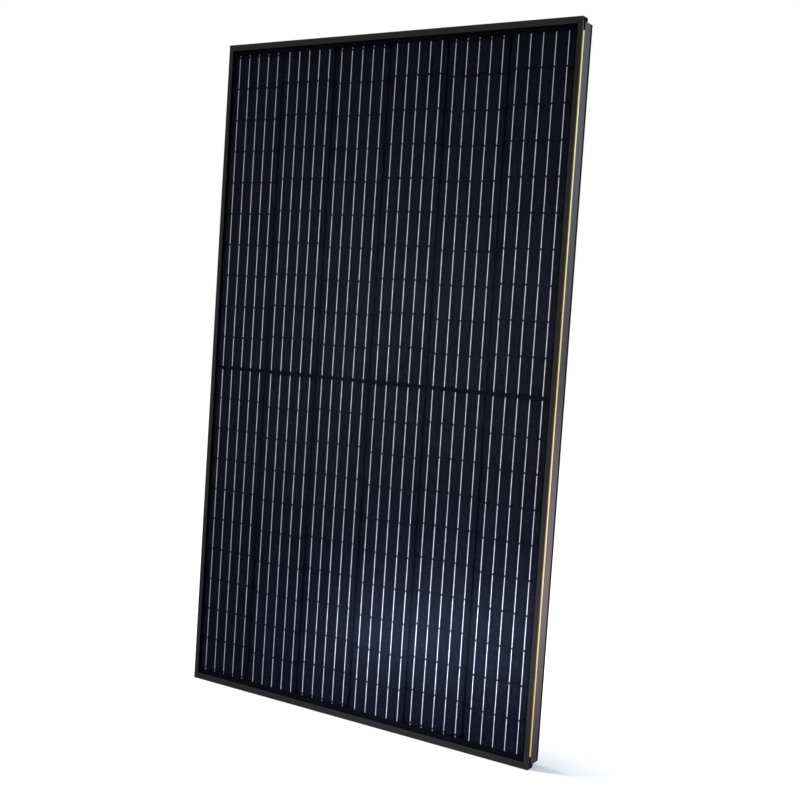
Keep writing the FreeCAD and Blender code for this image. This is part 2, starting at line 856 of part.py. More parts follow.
def cable_gland(name, middle, gland_side):
    """The gland that a cable leaves its junction box by, pointing down."""
    across = middle + d.box_wide / 4 * gland_side
    body = new_body(f"cable_gland_{name}")
    centre = depth((box_floor + box_rim) / 2)
    bottom_of_box = -(d.box_high / 2)

    def ring(feature, low, high, radius=None, flats=None):
        sketch = new_sketch(body, f"{feature}_outline", "XY_Plane")
        if flats is None:
            add_circle(sketch, across, centre, radius)
        else:
            add_outline(sketch, [
                (across + flats / 2 * (math.cos(turn) / math.cos(math.pi / 6)),
                 centre + flats / 2 * (math.sin(turn) / math.cos(math.pi / 6)))
                for turn in (math.pi / 3 * step for step in range(6))
            ])
        add_circle(sketch, across, centre, d.gland_bore)
        sketch.setExpression("AttachmentOffset.Base.z", ((low + high) / 2).text)
        add_pad(body, feature, sketch, high - low)

    tip = bottom_of_box - d.gland_long
    ring("sleeve", tip, bottom_of_box, radius=d.gland_radius)
    ring("nut", tip + d.gland_radius / 2, tip + d.gland_radius / 2 + d.nut_long, flats=d.nut_flats)
    return body


# ---- the module --------------------------------------------------------------

for side_name in SIDES:
    keep(long_rail(side_name))
    keep(side_strip(side_name))
    keep(edge_tape_rail(side_name))
for end_name in ENDS:
    keep(end_member(end_name))
    keep(edge_tape_end(end_name))
    for side_name in SIDES:
        keep(corner_key(side_name, end_name))

keep(full_sheet("front_glass", glass_front, glass_back))
keep(full_sheet("front_film", mask_back, front_film_back))
keep(full_sheet("rear_film", ribbon_back, rear_film_back))
keep(full_sheet("rear_sheet", rear_film_back, sheet_back))

mask_end = half_height - d.end_lip
keep(masking_strip("mask_top", cells_top, mask_end))
keep(masking_strip("mask_centre", -d.mask_half, d.mask_half))
keep(masking_strip("mask_bottom", -mask_end, -cells_top))

for number in range(1, COLUMNS + 1):
    keep(cell_column(number))
    keep(ribbon_column(number))

pairs = [(first, first + 1) for first in range(1, COLUMNS, 2)]
crossed = [(1, 1), (2, 3), (4, 5), (6, 6)]
keep(cross_ribbon("cross_ribbon_top", pairs, bus_start))
keep(cross_ribbon("cross_ribbon_centre", crossed, -(d.bus_wide / 2)))
keep(cross_ribbon("cross_ribbon_bottom", pairs, -(bus_start + d.bus_wide)))

BOXES = {"left": (-1, -1), "middle": (0, 0), "right": (1, 1)}
for box_name, (place, gland) in BOXES.items():
    box_middle = box_spacing * place
    junction_box(box_name, box_middle, gland)
    if gland:
        keep(cable_gland(box_name, box_middle, gland))

# ---- check and write ---------------------------------------------------------

doc.recompute()
for thing in doc.Objects:
    if {"Invalid", "Error"} & set(thing.State):
        raise RuntimeError(f"{thing.Name} failed: {thing.State}")
for piece in subparts:
    if piece.Shape.isNull() or not piece.Shape.isValid():
        raise RuntimeError(f"{piece.Label} has no valid shape")

os.makedirs("parts", exist_ok=True)
for piece in subparts:
    piece.Shape.exportStep(f"parts/{piece.Label}.step")
print(f"{len(subparts)} pieces written")
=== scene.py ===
import math

import bmesh
import bpy
from bpy.props import FloatProperty, FloatVectorProperty, IntProperty, PointerProperty
from mathutils import Euler, Matrix, Vector


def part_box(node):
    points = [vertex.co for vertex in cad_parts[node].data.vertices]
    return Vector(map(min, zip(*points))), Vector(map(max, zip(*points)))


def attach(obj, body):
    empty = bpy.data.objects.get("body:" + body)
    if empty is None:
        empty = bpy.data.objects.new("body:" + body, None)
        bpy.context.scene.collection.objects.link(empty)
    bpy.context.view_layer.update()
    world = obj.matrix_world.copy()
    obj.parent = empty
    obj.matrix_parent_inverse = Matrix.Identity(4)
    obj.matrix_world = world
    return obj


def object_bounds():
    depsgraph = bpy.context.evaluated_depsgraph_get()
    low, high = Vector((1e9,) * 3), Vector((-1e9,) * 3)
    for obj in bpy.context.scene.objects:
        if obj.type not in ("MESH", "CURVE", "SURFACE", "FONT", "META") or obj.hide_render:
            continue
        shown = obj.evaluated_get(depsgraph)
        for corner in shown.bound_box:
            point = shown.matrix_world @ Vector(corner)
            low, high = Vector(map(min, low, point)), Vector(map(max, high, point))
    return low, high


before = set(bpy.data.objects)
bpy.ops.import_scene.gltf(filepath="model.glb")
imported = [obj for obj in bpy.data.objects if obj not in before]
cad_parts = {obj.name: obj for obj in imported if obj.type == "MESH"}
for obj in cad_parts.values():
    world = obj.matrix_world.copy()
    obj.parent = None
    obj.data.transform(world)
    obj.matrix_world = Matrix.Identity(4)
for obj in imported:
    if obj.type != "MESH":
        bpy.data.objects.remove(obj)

bl_info = {
    "name": "Solar panel looks",
    "version": (1, 0, 0),
    "blender": (4, 5, 0),
    "location": "View3D > Sidebar > Solar panel",
    "description": "Finishes, small fittings and stage of a framed black solar panel",
    "category": "Object",
}

CAD_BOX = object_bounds()
MM = 0.001
GLASS_IOR = 1.5
WELD_REACH = 0.02 * MM
SHARP_EDGE = math.radians(40)
SIDES = ("left", "right")
ENDS = ("top", "bottom")
BOXES = ("left", "middle", "right")
COLUMNS = range(1, 7)


# ---- making a finish ---------------------------------------------------------


class Finish:
    """A node material under construction, with one Principled shader at its end."""

    def __init__(self, name, **sockets):
        self.material = bpy.data.materials.new(name)
        self.material.use_nodes = True
        self.tree = self.material.node_tree
        self.shader = self.tree.nodes["Principled BSDF"]
        self.normal = None
        for socket, value in sockets.items():
            self.shader.inputs[socket.replace("_", " ")].default_value = value
        self.place = self.add("ShaderNodeTexCoord").outputs["Object"]

    def add(self, kind, **settings):
        node = self.tree.nodes.new(kind)
        for name, value in settings.items():
            setattr(node, name, value)
        return node

    def join(self, source, target):
        self.tree.links.new(source, target)

    def stretched(self, stretch):
        """The place on the piece, in metres, scaled along each axis."""
        mapping = self.add("ShaderNodeMapping")
        mapping.inputs["Scale"].default_value = stretch
        self.join(self.place, mapping.inputs["Vector"])
        return mapping.outputs["Vector"]

    def noise(self, scale, detail=3.0, stretch=(1, 1, 1)):
        """Cloudy values from 0 to 1; scale counts features in a metre."""
        node = self.add("ShaderNodeTexNoise")
        node.inputs["Scale"].default_value = scale
        node.inputs["Detail"].default_value = detail
        self.join(self.stretched(stretch), node.inputs["Vector"])
        return node.outputs["Fac"]

    def pores(self, scale):
        """Distance to the nearest of many scattered points."""
        node = self.add("ShaderNodeTexVoronoi")
        node.inputs["Scale"].default_value = scale
        self.join(self.place, node.inputs["Vector"])
        return node.outputs["Distance"]

    def ranged(self, value, low, high, start=0.3, end=0.7):
        """A value's span from start to end, spread over low to high."""
        node = self.add("ShaderNodeMapRange")
        limits = {"From Min": start, "From Max": end, "To Min": low, "To Max": high}
        for socket, limit in limits.items():
            node.inputs[socket].default_value = limit
        self.join(value, node.inputs["Value"])
        return node.outputs["Result"]

    def reckon(self, operation, first, second):
        """One Math node on two values, each a socket or a number."""
        node = self.add("ShaderNodeMath", operation=operation)
        for socket, value in zip(node.inputs, (first, second)):
            if isinstance(value, (int, float)):
                socket.default_value = value
            else:
                self.join(value, socket)
        return node.outputs[0]

    def blend(self, factor, first, second):
        """A colour between two, each a socket or a colour."""
        node = self.add("ShaderNodeMix", data_type="RGBA")
        self.join(factor, node.inputs["Factor"])
        for socket, value in ((node.inputs[6], first), (node.inputs[7], second)):
            if isinstance(value, bpy.types.NodeSocket):
                self.join(value, socket)
            else:
                socket.default_value = (*value, 1.0)
        return node.outputs[2]

    def colour(self, value):
        self.join(value, self.shader.inputs["Base Color"])

    def roughness(self, value):
        self.join(value, self.shader.inputs["Roughness"])

    def bump(self, height, distance, strength=1.0):
        """Raise the surface; distance is the full height in metres."""
        node = self.add("ShaderNodeBump")
        node.inputs["Distance"].default_value = distance
        node.inputs["Strength"].default_value = strength
        self.join(height, node.inputs["Height"])
        if self.normal is not None:
            self.join(self.normal, node.inputs["Normal"])
        self.normal = node.outputs["Normal"]
        self.join(self.normal, self.shader.inputs["Normal"])


def scaled(colour, factor):
    return tuple(channel * factor for channel in colour)


def tinted(colour, factors):
    return tuple(channel * factor for channel, factor in zip(colour, factors))


def finish_nodes(names, finish):
    """Give CAD nodes one finish."""
    for name in names:
        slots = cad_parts[name].data.materials
        slots.clear()
        slots.append(finish.material)


def soften_edges(names, width, segments=2):
    """Break the sharp edges of CAD nodes so that they catch the light."""
    for name in names:
        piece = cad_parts[name]
        weld = piece.modifiers.new("joined_faces", "WELD")
        weld.merge_threshold = WELD_REACH
        bevel = piece.modifiers.new("broken_edges", "BEVEL")
        bevel.width = width
        bevel.segments = segments
        bevel.limit_method = "ANGLE"
        bevel.angle_limit = SHARP_EDGE
        bevel.harden_normals = True


def draw_in(names, distance):
    """Draw the faces of CAD nodes in a hair so that none lies exactly in a neighbour's."""
    for name in names:
        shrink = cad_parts[name].modifiers.new("drawn_in", "DISPLACE")
        shrink.mid_level = 0.0
        shrink.strength = -distance


# ---- frame finishes ----------------------------------------------------------


def anodised_finish(name, look, along):
    """Satin black anodised extrusion, its die lines running along one axis."""
    base = tuple(look.frame_colour)
    finish = Finish(name, Metallic=look.frame_metal, Specular_IOR_Level=look.frame_gloss)
    fine = tuple(0.02 if axis == along else 1.0 for axis in range(3))
    broad = tuple(0.15 if axis == along else 1.0 for axis in range(3))
    lines = finish.noise(1500, 2.0, fine)
    drift = finish.noise(14, 4.0, broad)
    specks = finish.noise(900, 3.0)
    tone = finish.blend(finish.ranged(drift, 0.0, 1.0), scaled(base, 0.86), scaled(base, 1.12))
    dusty = finish.ranged(finish.noise(55, 6.0), 0.0, 0.3, 0.55, 0.75)
    finish.colour(finish.blend(dusty, tone, scaled(base, 1.5)))
    rough = look.frame_roughness
    finish.roughness(finish.ranged(drift, rough - 0.05, rough + 0.06))
    finish.bump(lines, 0.00002)
    finish.bump(specks, 0.000012)
    return finish


def mill_finish(look):
    """Bare extruded aluminium of the corner keys."""
    finish = Finish("bare_aluminium", Metallic=1.0)
    drawn = finish.noise(1200, 2.0, (1.0, 1.0, 0.03))
    cloud = finish.noise(40)
    finish.colour(finish.blend(cloud, scaled(look.key_colour, 0.85), tuple(look.key_colour)))
    finish.roughness(finish.ranged(cloud, 0.28, 0.42))
    finish.bump(drawn, 0.00002)
    return finish


def strip_finish(look):
    """Pale yellow satin strip with faint draw lines and handling marks."""
    base = tuple(look.strip_colour)
    finish = Finish("yellow_strip", Specular_IOR_Level=0.45)
    drift = finish.noise(9, 4.0, (1.0, 1.0, 0.4))
    marks = finish.noise(160, 5.0, (1.0, 1.0, 0.25))
    drawn = finish.noise(1400, 2.0, (1.0, 1.0, 0.02))
    tone = finish.blend(finish.ranged(drift, 0.0, 1.0), scaled(base, 0.9), scaled(base, 1.06))
    dulled = tinted(base, (0.72, 0.7, 0.62))
    finish.colour(finish.blend(finish.ranged(marks, 0.0, 0.5, 0.56, 0.78), tone, dulled))
    finish.roughness(finish.ranged(marks, 0.34, 0.52))
    finish.bump(drawn, 0.00002)
    return finish


class SOLAR_OT_frame(bpy.types.Operator):
    """Finish the rails, end members and corner keys of the frame"""

    bl_idname = "solar.frame"
    bl_label = "Finish the frame"

    def execute(self, context):
        look = context.scene.solar_frame
        rails = [f"frame_rail_{side}" for side in SIDES]
        members = [f"frame_end_{end}" for end in ENDS]
        finish_nodes(rails, anodised_finish("anodised_rail", look, 2))
        finish_nodes(members, anodised_finish("anodised_end", look, 0))
        soften_edges(rails + members, look.edge_break)
        keys = [f"corner_key_{end}_{side}" for end in ENDS for side in SIDES]
        finish_nodes(keys, mill_finish(look))
        return {"FINISHED"}


class SOLAR_OT_strips(bpy.types.Operator):
    """Finish the yellow strips in the side grooves"""

    bl_idname = "solar.strips"
    bl_label = "Finish the side strips"

    def execute(self, context):
        look = context.scene.solar_frame
        finish_nodes([f"side_strip_{side}" for side in SIDES], strip_finish(look))
        return {"FINISHED"}


# ---- laminate finishes -------------------------------------------------------


def glass_finish(look):
    """Low-iron glass with a fine rolled texture, seen through to the cells."""
    finish = Finish(
        "solar_glass",
        Base_Color=(*look.glass_colour, 1.0),
        Alpha=look.glass_alpha,
        IOR=GLASS_IOR,
        Specular_IOR_Level=look.glass_gloss,
        Specular_Tint=(*look.glass_sheen, 1.0),
    )
    film = finish.noise(6, 5.0)
    rolled = finish.pores(900)
    finish.roughness(finish.ranged(film, look.glass_roughness - 0.04, look.glass_roughness + 0.05))
    finish.bump(rolled, 0.00002, 0.5)
    return finish


def film_finish(look):
    """Clear cured encapsulant; nearly invisible between glass and cells."""
    finish = Finish(
        "encapsulant",
        Base_Color=(*look.glass_colour, 1.0),
        Alpha=look.film_alpha,
        Specular_IOR_Level=0.0,
    )
    finish.roughness(finish.ranged(finish.noise(30), 0.45, 0.6))
    return finish


def cell_finish(look):
    """Coated silicon: dark blue, printed fingers, each half cell a little different."""
    base = tuple(look.cell_colour)
    finish = Finish(
        "silicon_cell",
        Specular_Tint=(*look.cell_sheen, 1.0),
        IOR=GLASS_IOR,
        Specular_IOR_Level=look.cell_gloss,
    )
    island = finish.add("ShaderNodeNewGeometry").outputs["Random Per Island"]
    cloud = finish.noise(16, 4.0)
    warm = tinted(base, (1.1, 0.95, 0.88))
    tone = finish.blend(island, scaled(base, 0.86), scaled(base, 1.16))
    tone = finish.blend(finish.ranged(cloud, 0.0, 0.5), tone, warm)
    apart = finish.add("ShaderNodeSeparateXYZ")
    finish.join(finish.place, apart.inputs["Vector"])
    pitch = look.finger_pitch
    turns = finish.reckon("DIVIDE", apart.outputs["Z"], pitch)
    phase = finish.reckon("PINGPONG", turns, 0.5)
    finger = finish.reckon("LESS_THAN", phase, look.finger_width / pitch / 2)
    printed = finish.reckon("MULTIPLY", finger, look.finger_strength)
    finish.colour(finish.blend(printed, tone, look.finger_colour))
    finish.roughness(finish.ranged(cloud, 0.36, 0.46))
    finish.bump(finish.noise(2600, 2.0), 0.000003)
    finish.bump(finger, 0.00001)
    return finish


def ribbon_finish(look):
    """Tinned copper ribbon, satin, with solder ripple along it."""
    base = tuple(look.ribbon_colour)
    finish = Finish("tinned_ribbon", Metallic=look.ribbon_metal)
    ripple = finish.noise(420, 3.0, (1.0, 1.0, 0.3))
    cloud = finish.noise(38, 4.0)
    tone = finish.blend(finish.ranged(cloud, 0.0, 1.0), scaled(base, 0.88), scaled(base, 1.05))
    finish.colour(tone)
    rough = look.ribbon_roughness
    finish.roughness(finish.ranged(ripple, rough - 0.06, rough + 0.08))
    finish.bump(ripple, 0.00004)
    return finish


def sheet_finish(look):
    """Matte black rear sheet with a fine embossed grain."""
    base = tuple(look.sheet_colour)
    finish = Finish("rear_sheet", Specular_IOR_Level=0.06)
    cloud = finish.noise(7, 4.0)
    scuff = finish.ranged(finish.noise(80, 6.0), 0.0, 0.35, 0.58, 0.8)
    tone = finish.blend(finish.ranged(cloud, 0.0, 1.0), scaled(base, 0.88), scaled(base, 1.1))
    finish.colour(finish.blend(scuff, tone, scaled(base, 1.7)))
    finish.roughness(finish.ranged(cloud, 0.48, 0.6))
    finish.bump(finish.pores(1100), 0.00003, 0.6)
    return finish


def mask_finish(look):
    """Matte black masking film."""
    base = tuple(look.mask_colour)
    finish = Finish("mask", Specular_IOR_Level=0.04)
    cloud = finish.noise(20, 4.0)
    finish.colour(finish.blend(cloud, scaled(base, 0.8), scaled(base, 1.2)))
    finish.roughness(finish.ranged(cloud, 0.6, 0.75))
    finish.bump(finish.noise(1800, 2.0), 0.00001)
    return finish


def tape_finish(look):
    """Black closed-cell foam tape round the rim of the laminate."""
    base = tuple(look.mask_colour)
    finish = Finish("edge_tape", Specular_IOR_Level=0.2)
    cells = finish.pores(1600)
    finish.colour(finish.blend(cells, scaled(base, 1.6), scaled(base, 0.8)))
    finish.roughness(finish.ranged(cells, 0.8, 0.95, 0.0, 0.6))
    finish.bump(cells, 0.00006)
    return finish


class SOLAR_OT_laminate(bpy.types.Operator):
    """Finish the glass, films, masks, rear sheet and edge tape"""

    bl_idname = "solar.laminate"
    bl_label = "Finish the laminate"

    def execute(self, context):
        look = context.scene.solar_laminate
        finish_nodes(["front_glass"], glass_finish(look))
        finish_nodes(["front_film", "rear_film"], film_finish(look))
        finish_nodes(["rear_sheet"], sheet_finish(look))
        masks = ["mask_top", "mask_centre", "mask_bottom"]
        finish_nodes(masks, mask_finish(look))
        draw_in(["front_film", "rear_film"] + masks, look.hair)
        tapes = [f"edge_tape_{place}" for place in SIDES + ENDS]
        finish_nodes(tapes, tape_finish(look))
        return {"FINISHED"}


class SOLAR_OT_cells(bpy.types.Operator):
    """Finish the half cells and the ribbons that join them"""

    bl_idname = "solar.cells"
    bl_label = "Finish the cells and ribbons"

    def execute(self, context):
        look = context.scene.solar_laminate
        finish_nodes([f"cells_column_{column}" for column in COLUMNS], cell_finish(look))
        ribbons = [f"ribbons_column_{column}" for column in COLUMNS]
        crossing = [f"cross_ribbon_{place}" for place in ("top", "centre", "bottom")]
        finish_nodes(ribbons + crossing, ribbon_finish(look))
        return {"FINISHED"}


# ---- junction boxes ----------------------------------------------------------


def moulded_finish(look):
    """Spark-eroded black moulding of the junction boxes."""
    base = tuple(look.plastic_colour)
    finish = Finish("box_plastic", Specular_IOR_Level=0.45)
    cloud = finish.noise(60, 4.0)
    grain = finish.noise(2300, 2.0)
    finish.colour(finish.blend(finish.ranged(cloud, 0.0, 1.0), scaled(base, 0.85), scaled(base, 1.2)))
    finish.roughness(finish.ranged(grain, 0.42, 0.6))
    finish.bump(grain, 0.00005)
    return finish


def rubbery_finish(name, colour, roughness, ripple):
    """Silicone or potting: smooth, slightly wavy, faintly cloudy."""
    finish = Finish(name, Specular_IOR_Level=0.5)
    cloud = finish.noise(90, 3.0)
    finish.colour(finish.blend(cloud, scaled(colour, 0.85), scaled(colour, 1.15)))
    finish.roughness(finish.ranged(cloud, roughness - 0.05, roughness + 0.08))
    finish.bump(finish.noise(220, 2.0), ripple)
    return finish


def contact_finish(look):
    """Tinned contact rails."""
    base = tuple(look.contact_colour)
    finish = Finish("contact_metal", Metallic=1.0)
    cloud = finish.noise(130, 4.0)
    finish.colour(finish.blend(cloud, scaled(base, 0.8), base))
    finish.roughness(finish.ranged(cloud, 0.25, 0.42))
    finish.bump(finish.noise(1500, 2.0, (0.05, 1.0, 1.0)), 0.00002)
    return finish


class SOLAR_OT_boxes(bpy.types.Operator):
    """Finish the junction boxes, their contents and the cable glands"""

    bl_idname = "solar.boxes"
    bl_label = "Finish the junction boxes"

    def execute(self, context):
        look = context.scene.solar_boxes
        plastic = moulded_finish(look)
        shells = [f"box_{part}_{name}" for part in ("base", "lid") for name in BOXES]
        finish_nodes(shells + [f"cable_gland_{side}" for side in SIDES], plastic)
        soften_edges(shells, look.edge_break, 3)
        bead = rubbery_finish("silicone", tuple(look.silicone_colour), 0.4, 0.0003)
        finish_nodes([f"box_bead_{name}" for name in BOXES], bead)
        potting = rubbery_finish("potting", tuple(look.potting_colour), 0.18, 0.0002)
        finish_nodes([f"box_potting_{name}" for name in BOXES], potting)
        finish_nodes([f"box_contacts_{name}" for name in BOXES], contact_finish(look))
        body = rubbery_finish("diode_body", tuple(look.plastic_colour), 0.3, 0.00005)
        finish_nodes([f"box_diode_{name}" for name in BOXES], body)
        return {"FINISHED"}


# ---- small fittings ----------------------------------------------------------


STEPS_PER_RIB = 6
NUT_WALL = 1.0 * MM
NUT_CHAMFER = 0.5 * MM
NUT_ABOVE_RIM = 2.0 * MM
LATCH_SHARES = (-0.28, 0.28)
LATCH_BITE = 0.6 * MM
LATCH_OVER_LID = 0.3 * MM
LATCH_ROUNDING = 0.35 * MM


def new_piece(name, mesh_data, finish):
    """Make an object of a bmesh, give it its finish and let it ride on the module."""
    mesh = bpy.data.meshes.new(name)
    mesh_data.to_mesh(mesh)
    mesh_data.free()
    piece = bpy.data.objects.new(name, mesh)
    bpy.context.scene.collection.objects.link(piece)
    mesh.materials.append(finish.material)
    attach(piece, "root")
    return piece


def add_ring(data, centre, outer, inner, low, high, ribs, rib_height):
    """A ribbed collar about the Z axis, open in the middle."""
    count = ribs * STEPS_PER_RIB
    loops = []
    heights = (low, low + NUT_CHAMFER, high - NUT_CHAMFER, high)
    for height in heights:
        shrink = NUT_CHAMFER if height in (low, high) else 0.0
        loop = []
        for step in range(count):
            turn = 2 * math.pi * step / count
            raised = rib_height if step % STEPS_PER_RIB < STEPS_PER_RIB / 2 else 0.0
            radius = outer + raised - shrink
            loop.append(data.verts.new((
                centre[0] + radius * math.cos(turn),
                centre[1] + radius * math.sin(turn),
                height,
            )))
        loops.append(loop)
    for height in (high, low):
        loops.append([
            data.verts.new((
                centre[0] + inner * math.cos(2 * math.pi * step / count),
                centre[1] + inner * math.sin(2 * math.pi * step / count),
                height,
            ))
            for step in range(count)
        ])
    for first, second in zip(loops, loops[1:] + loops[:1]):
        for step in range(count):
            after = (step + 1) % count
            data.faces.new((first[step], first[after], second[after], second[step]))
    bmesh.ops.recalc_face_normals(data, faces=data.faces)


def add_block(data, low, high, rounding):
    """A small rounded block between two corners."""
    middle = (low + high) / 2
    size = high - low
    place = Matrix.Translation(middle) @ Matrix.Diagonal((*size, 1.0))
    made = bmesh.ops.create_cube(data, size=1.0, matrix=place)
    edges = {edge for vert in made["verts"] for edge in vert.link_edges}
    bmesh.ops.bevel(data, geom=list(edges), offset=rounding, segments=3, profile=0.5, affect="EDGES")


class SOLAR_OT_fittings(bpy.types.Operator):
    """Add the gland nuts and the latches of the box lids"""

    bl_idname = "solar.fittings"
    bl_label = "Add nuts and latches"

    def execute(self, context):
        look = context.scene.solar_boxes
        finish = moulded_finish(look)
        for side in SIDES:
            low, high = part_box(f"cable_gland_{side}")
            centre = (low + high) / 2
            radius = (high.x - low.x) / 2
            data = bmesh.new()
            bottom = low.z + NUT_ABOVE_RIM
            top = bottom + look.nut_length
            inner = radius - NUT_WALL
            add_ring(data, centre, radius, inner, bottom, top, look.nut_ribs, look.rib_height)
            new_piece(f"gland_nut_{side}", data, finish)
        for name in BOXES:
            low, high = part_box(f"box_lid_{name}")
            centre = (low + high) / 2
            data = bmesh.new()
            reach = Vector((look.latch_width / 2, 0.0, 0.0))
            for share in LATCH_SHARES:
                for rim, outward in ((low.z, -1), (high.z, 1)):
                    middle = Vector((centre.x + share * (high.x - low.x), 0.0, rim))
                    near = middle - reach
                    far = middle + reach
                    near.y = low.y - look.latch_drop
                    far.y = high.y + LATCH_OVER_LID
                    inside = rim - LATCH_BITE * outward
                    outside = rim + look.latch_proud * outward
                    near.z = min(inside, outside)
                    far.z = max(inside, outside)
                    add_block(data, near, far, LATCH_ROUNDING)
            new_piece(f"lid_latches_{name}", data, finish)
        return {"FINISHED"}


# ---- stage -------------------------------------------------------------------


SENSOR_WIDTH = 36.0
FLOOR_GAP = 0.5 * MM
WARM = (1.0, 0.99, 0.97)
CREAM = (1.0, 0.98, 0.92)
BLUSH = (1.0, 0.86, 0.84)
SKY = (0.74, 0.84, 1.0)
COOL = (0.90, 0.93, 1.0)
BLUE = (0.66, 0.74, 1.0)
WHITE = (1.0, 1.0, 1.0, 1.0)


def floor_finish(look):
    """Plain pale floor with the faintest cloud in it."""
    base = tuple(look.floor_colour)
    finish = Finish("floor", Specular_IOR_Level=0.2)
    cloud = finish.noise(2.0, 3.0)
    finish.colour(finish.blend(cloud, scaled(base, 0.985), base))
    finish.roughness(finish.ranged(cloud, 0.75, 0.85))
    return finish


def add_floor(look):
    data = bmesh.new()
    bmesh.ops.create_grid(data, x_segments=2, y_segments=2, size=look.floor_size / 2)
    mesh = bpy.data.meshes.new("floor")
    data.to_mesh(mesh)
    data.free()
    floor = bpy.data.objects.new("floor", mesh)
    floor.location.z = CAD_BOX[0][2] - FLOOR_GAP
    mesh.materials.append(floor_finish(look).material)
    floor.visible_glossy = False
    bpy.context.scene.collection.objects.link(floor)


def add_lamp(name, kind, place, target, power, colour, size):
    """A soft lamp that points at a place; size is metres, or radians for the sun."""
    lamp = bpy.data.lights.new(name, kind)
    lamp.energy = power
    lamp.color = colour
    if kind == "SUN":
        lamp.angle = size
    else:
        lamp.shape = "RECTANGLE"
        lamp.size, lamp.size_y = size
    holder = bpy.data.objects.new(name, lamp)
    holder.location = place
    aim = Vector(target) - Vector(place)
    holder.rotation_euler = aim.to_track_quat("-Z", "Y").to_euler()
    holder.visible_camera = False
    bpy.context.scene.collection.objects.link(holder)


def lamps(look):
    """Name, kind, place, target, power, colour and size of every lamp."""
    rail_top = (0.5, 0, 0.5)
    rail_foot = (0.5, 0, -0.80)
    return (
        ("overhead_sun", "SUN", (-1.8, -0.35, 2.8), (0, 0, 0), look.sun, WARM, look.sun_spread),
        ("side_upper", "AREA", (2.6, 1.8, 0.9), rail_top, look.side_upper, SKY, (1.3, 1.3)),
        ("side_lower", "AREA", (1.7, 1.2, -0.70), rail_foot, look.side_lower, BLUSH, (1.3, 0.9)),
        ("side_front", "AREA", (3.4, -0.6, 0.4), (0.5, 0, 0.1), look.side_front, CREAM, (1.2, 1.2)),
        ("front", "AREA", (-2.1, -4.0, 0.1), (0.2, 0, 0.0), look.front, COOL, (2.0, 1.6)),
        ("front_low", "AREA", (-0.1, -0.8, -0.79), (0.25, 0, -0.75), look.front_low, BLUE, (0.7, 0.12)),
    )


def add_world(look):
    """White where the camera looks past the stage, dim grey for light and reflections."""
    world = bpy.data.worlds.new("studio")
    world.use_nodes = True
    nodes, links = world.node_tree.nodes, world.node_tree.links
    nodes.clear()
    ray = nodes.new("ShaderNodeLightPath")
    lit = nodes.new("ShaderNodeBackground")
    seen = nodes.new("ShaderNodeBackground")
    choice = nodes.new("ShaderNodeMixShader")
    output = nodes.new("ShaderNodeOutputWorld")
    lit.inputs["Color"].default_value = (*look.ambient_colour, 1.0)
    lit.inputs["Strength"].default_value = look.ambient
    seen.inputs["Color"].default_value = WHITE
    links.new(ray.outputs["Is Camera Ray"], choice.inputs["Fac"])
    links.new(lit.outputs[0], choice.inputs[1])
    links.new(seen.outputs[0], choice.inputs[2])
    links.new(choice.outputs[0], output.inputs["Surface"])
    bpy.context.scene.world = world


class SOLAR_OT_stage(bpy.types.Operator):
    """Add the floor, the studio light and the camera"""

    bl_idname = "solar.stage"
    bl_label = "Set the stage"

    def execute(self, context):
        look = context.scene.solar_stage
        add_floor(look)
        add_world(look)
        for lamp in lamps(look):
            add_lamp(*lamp)
        camera = bpy.data.objects.new("camera", bpy.data.cameras.new("camera"))
        camera.data.lens = look.lens
        camera.data.sensor_width = SENSOR_WIDTH
        camera.location = look.camera_place
        camera.rotation_euler = Euler(look.camera_turn)
        context.scene.collection.objects.link(camera)
        context.scene.camera = camera
        context.scene.view_settings.view_transform = "Standard"
        return {"FINISHED"}


# ---- settings ----------------------------------------------------------------


def colour_setting(name, description, default):
    return FloatVectorProperty(
        name=name, description=description, subtype="COLOR", size=3, min=0.0, max=1.0, default=default
    )


def length_setting(name, description, default):
    return FloatProperty(
        name=name, description=description, unit="LENGTH", min=0.0, default=default, precision=5
    )


def share_setting(name, description, default):
    return FloatProperty(
        name=name, description=description, subtype="FACTOR", min=0.0, max=1.0, default=default
    )


def strength_setting(name, description, default):
    return FloatProperty(name=name, description=description, min=0.0, default=default)


class FrameLook(bpy.types.PropertyGroup):
    """Colours and edges of the frame"""

    frame_colour: colour_setting("Frame", "Anodised frame", (0.0140, 0.0118, 0.0116))
    frame_metal: share_setting("Metal", "How metallic the anodised frame looks", 0.1)
    frame_gloss: share_setting("Gloss", "Strength of the reflections of the frame", 0.13)
    frame_roughness: share_setting("Roughness", "Roughness of the anodised frame", 0.46)
    edge_break: length_setting("Edge", "Width of the broken edges of the frame", 0.0003)
    strip_colour: colour_setting("Strip", "Strip in the side groove", (0.40, 0.32, 0.075))
    key_colour: colour_setting("Keys", "Corner keys", (0.72, 0.73, 0.74))


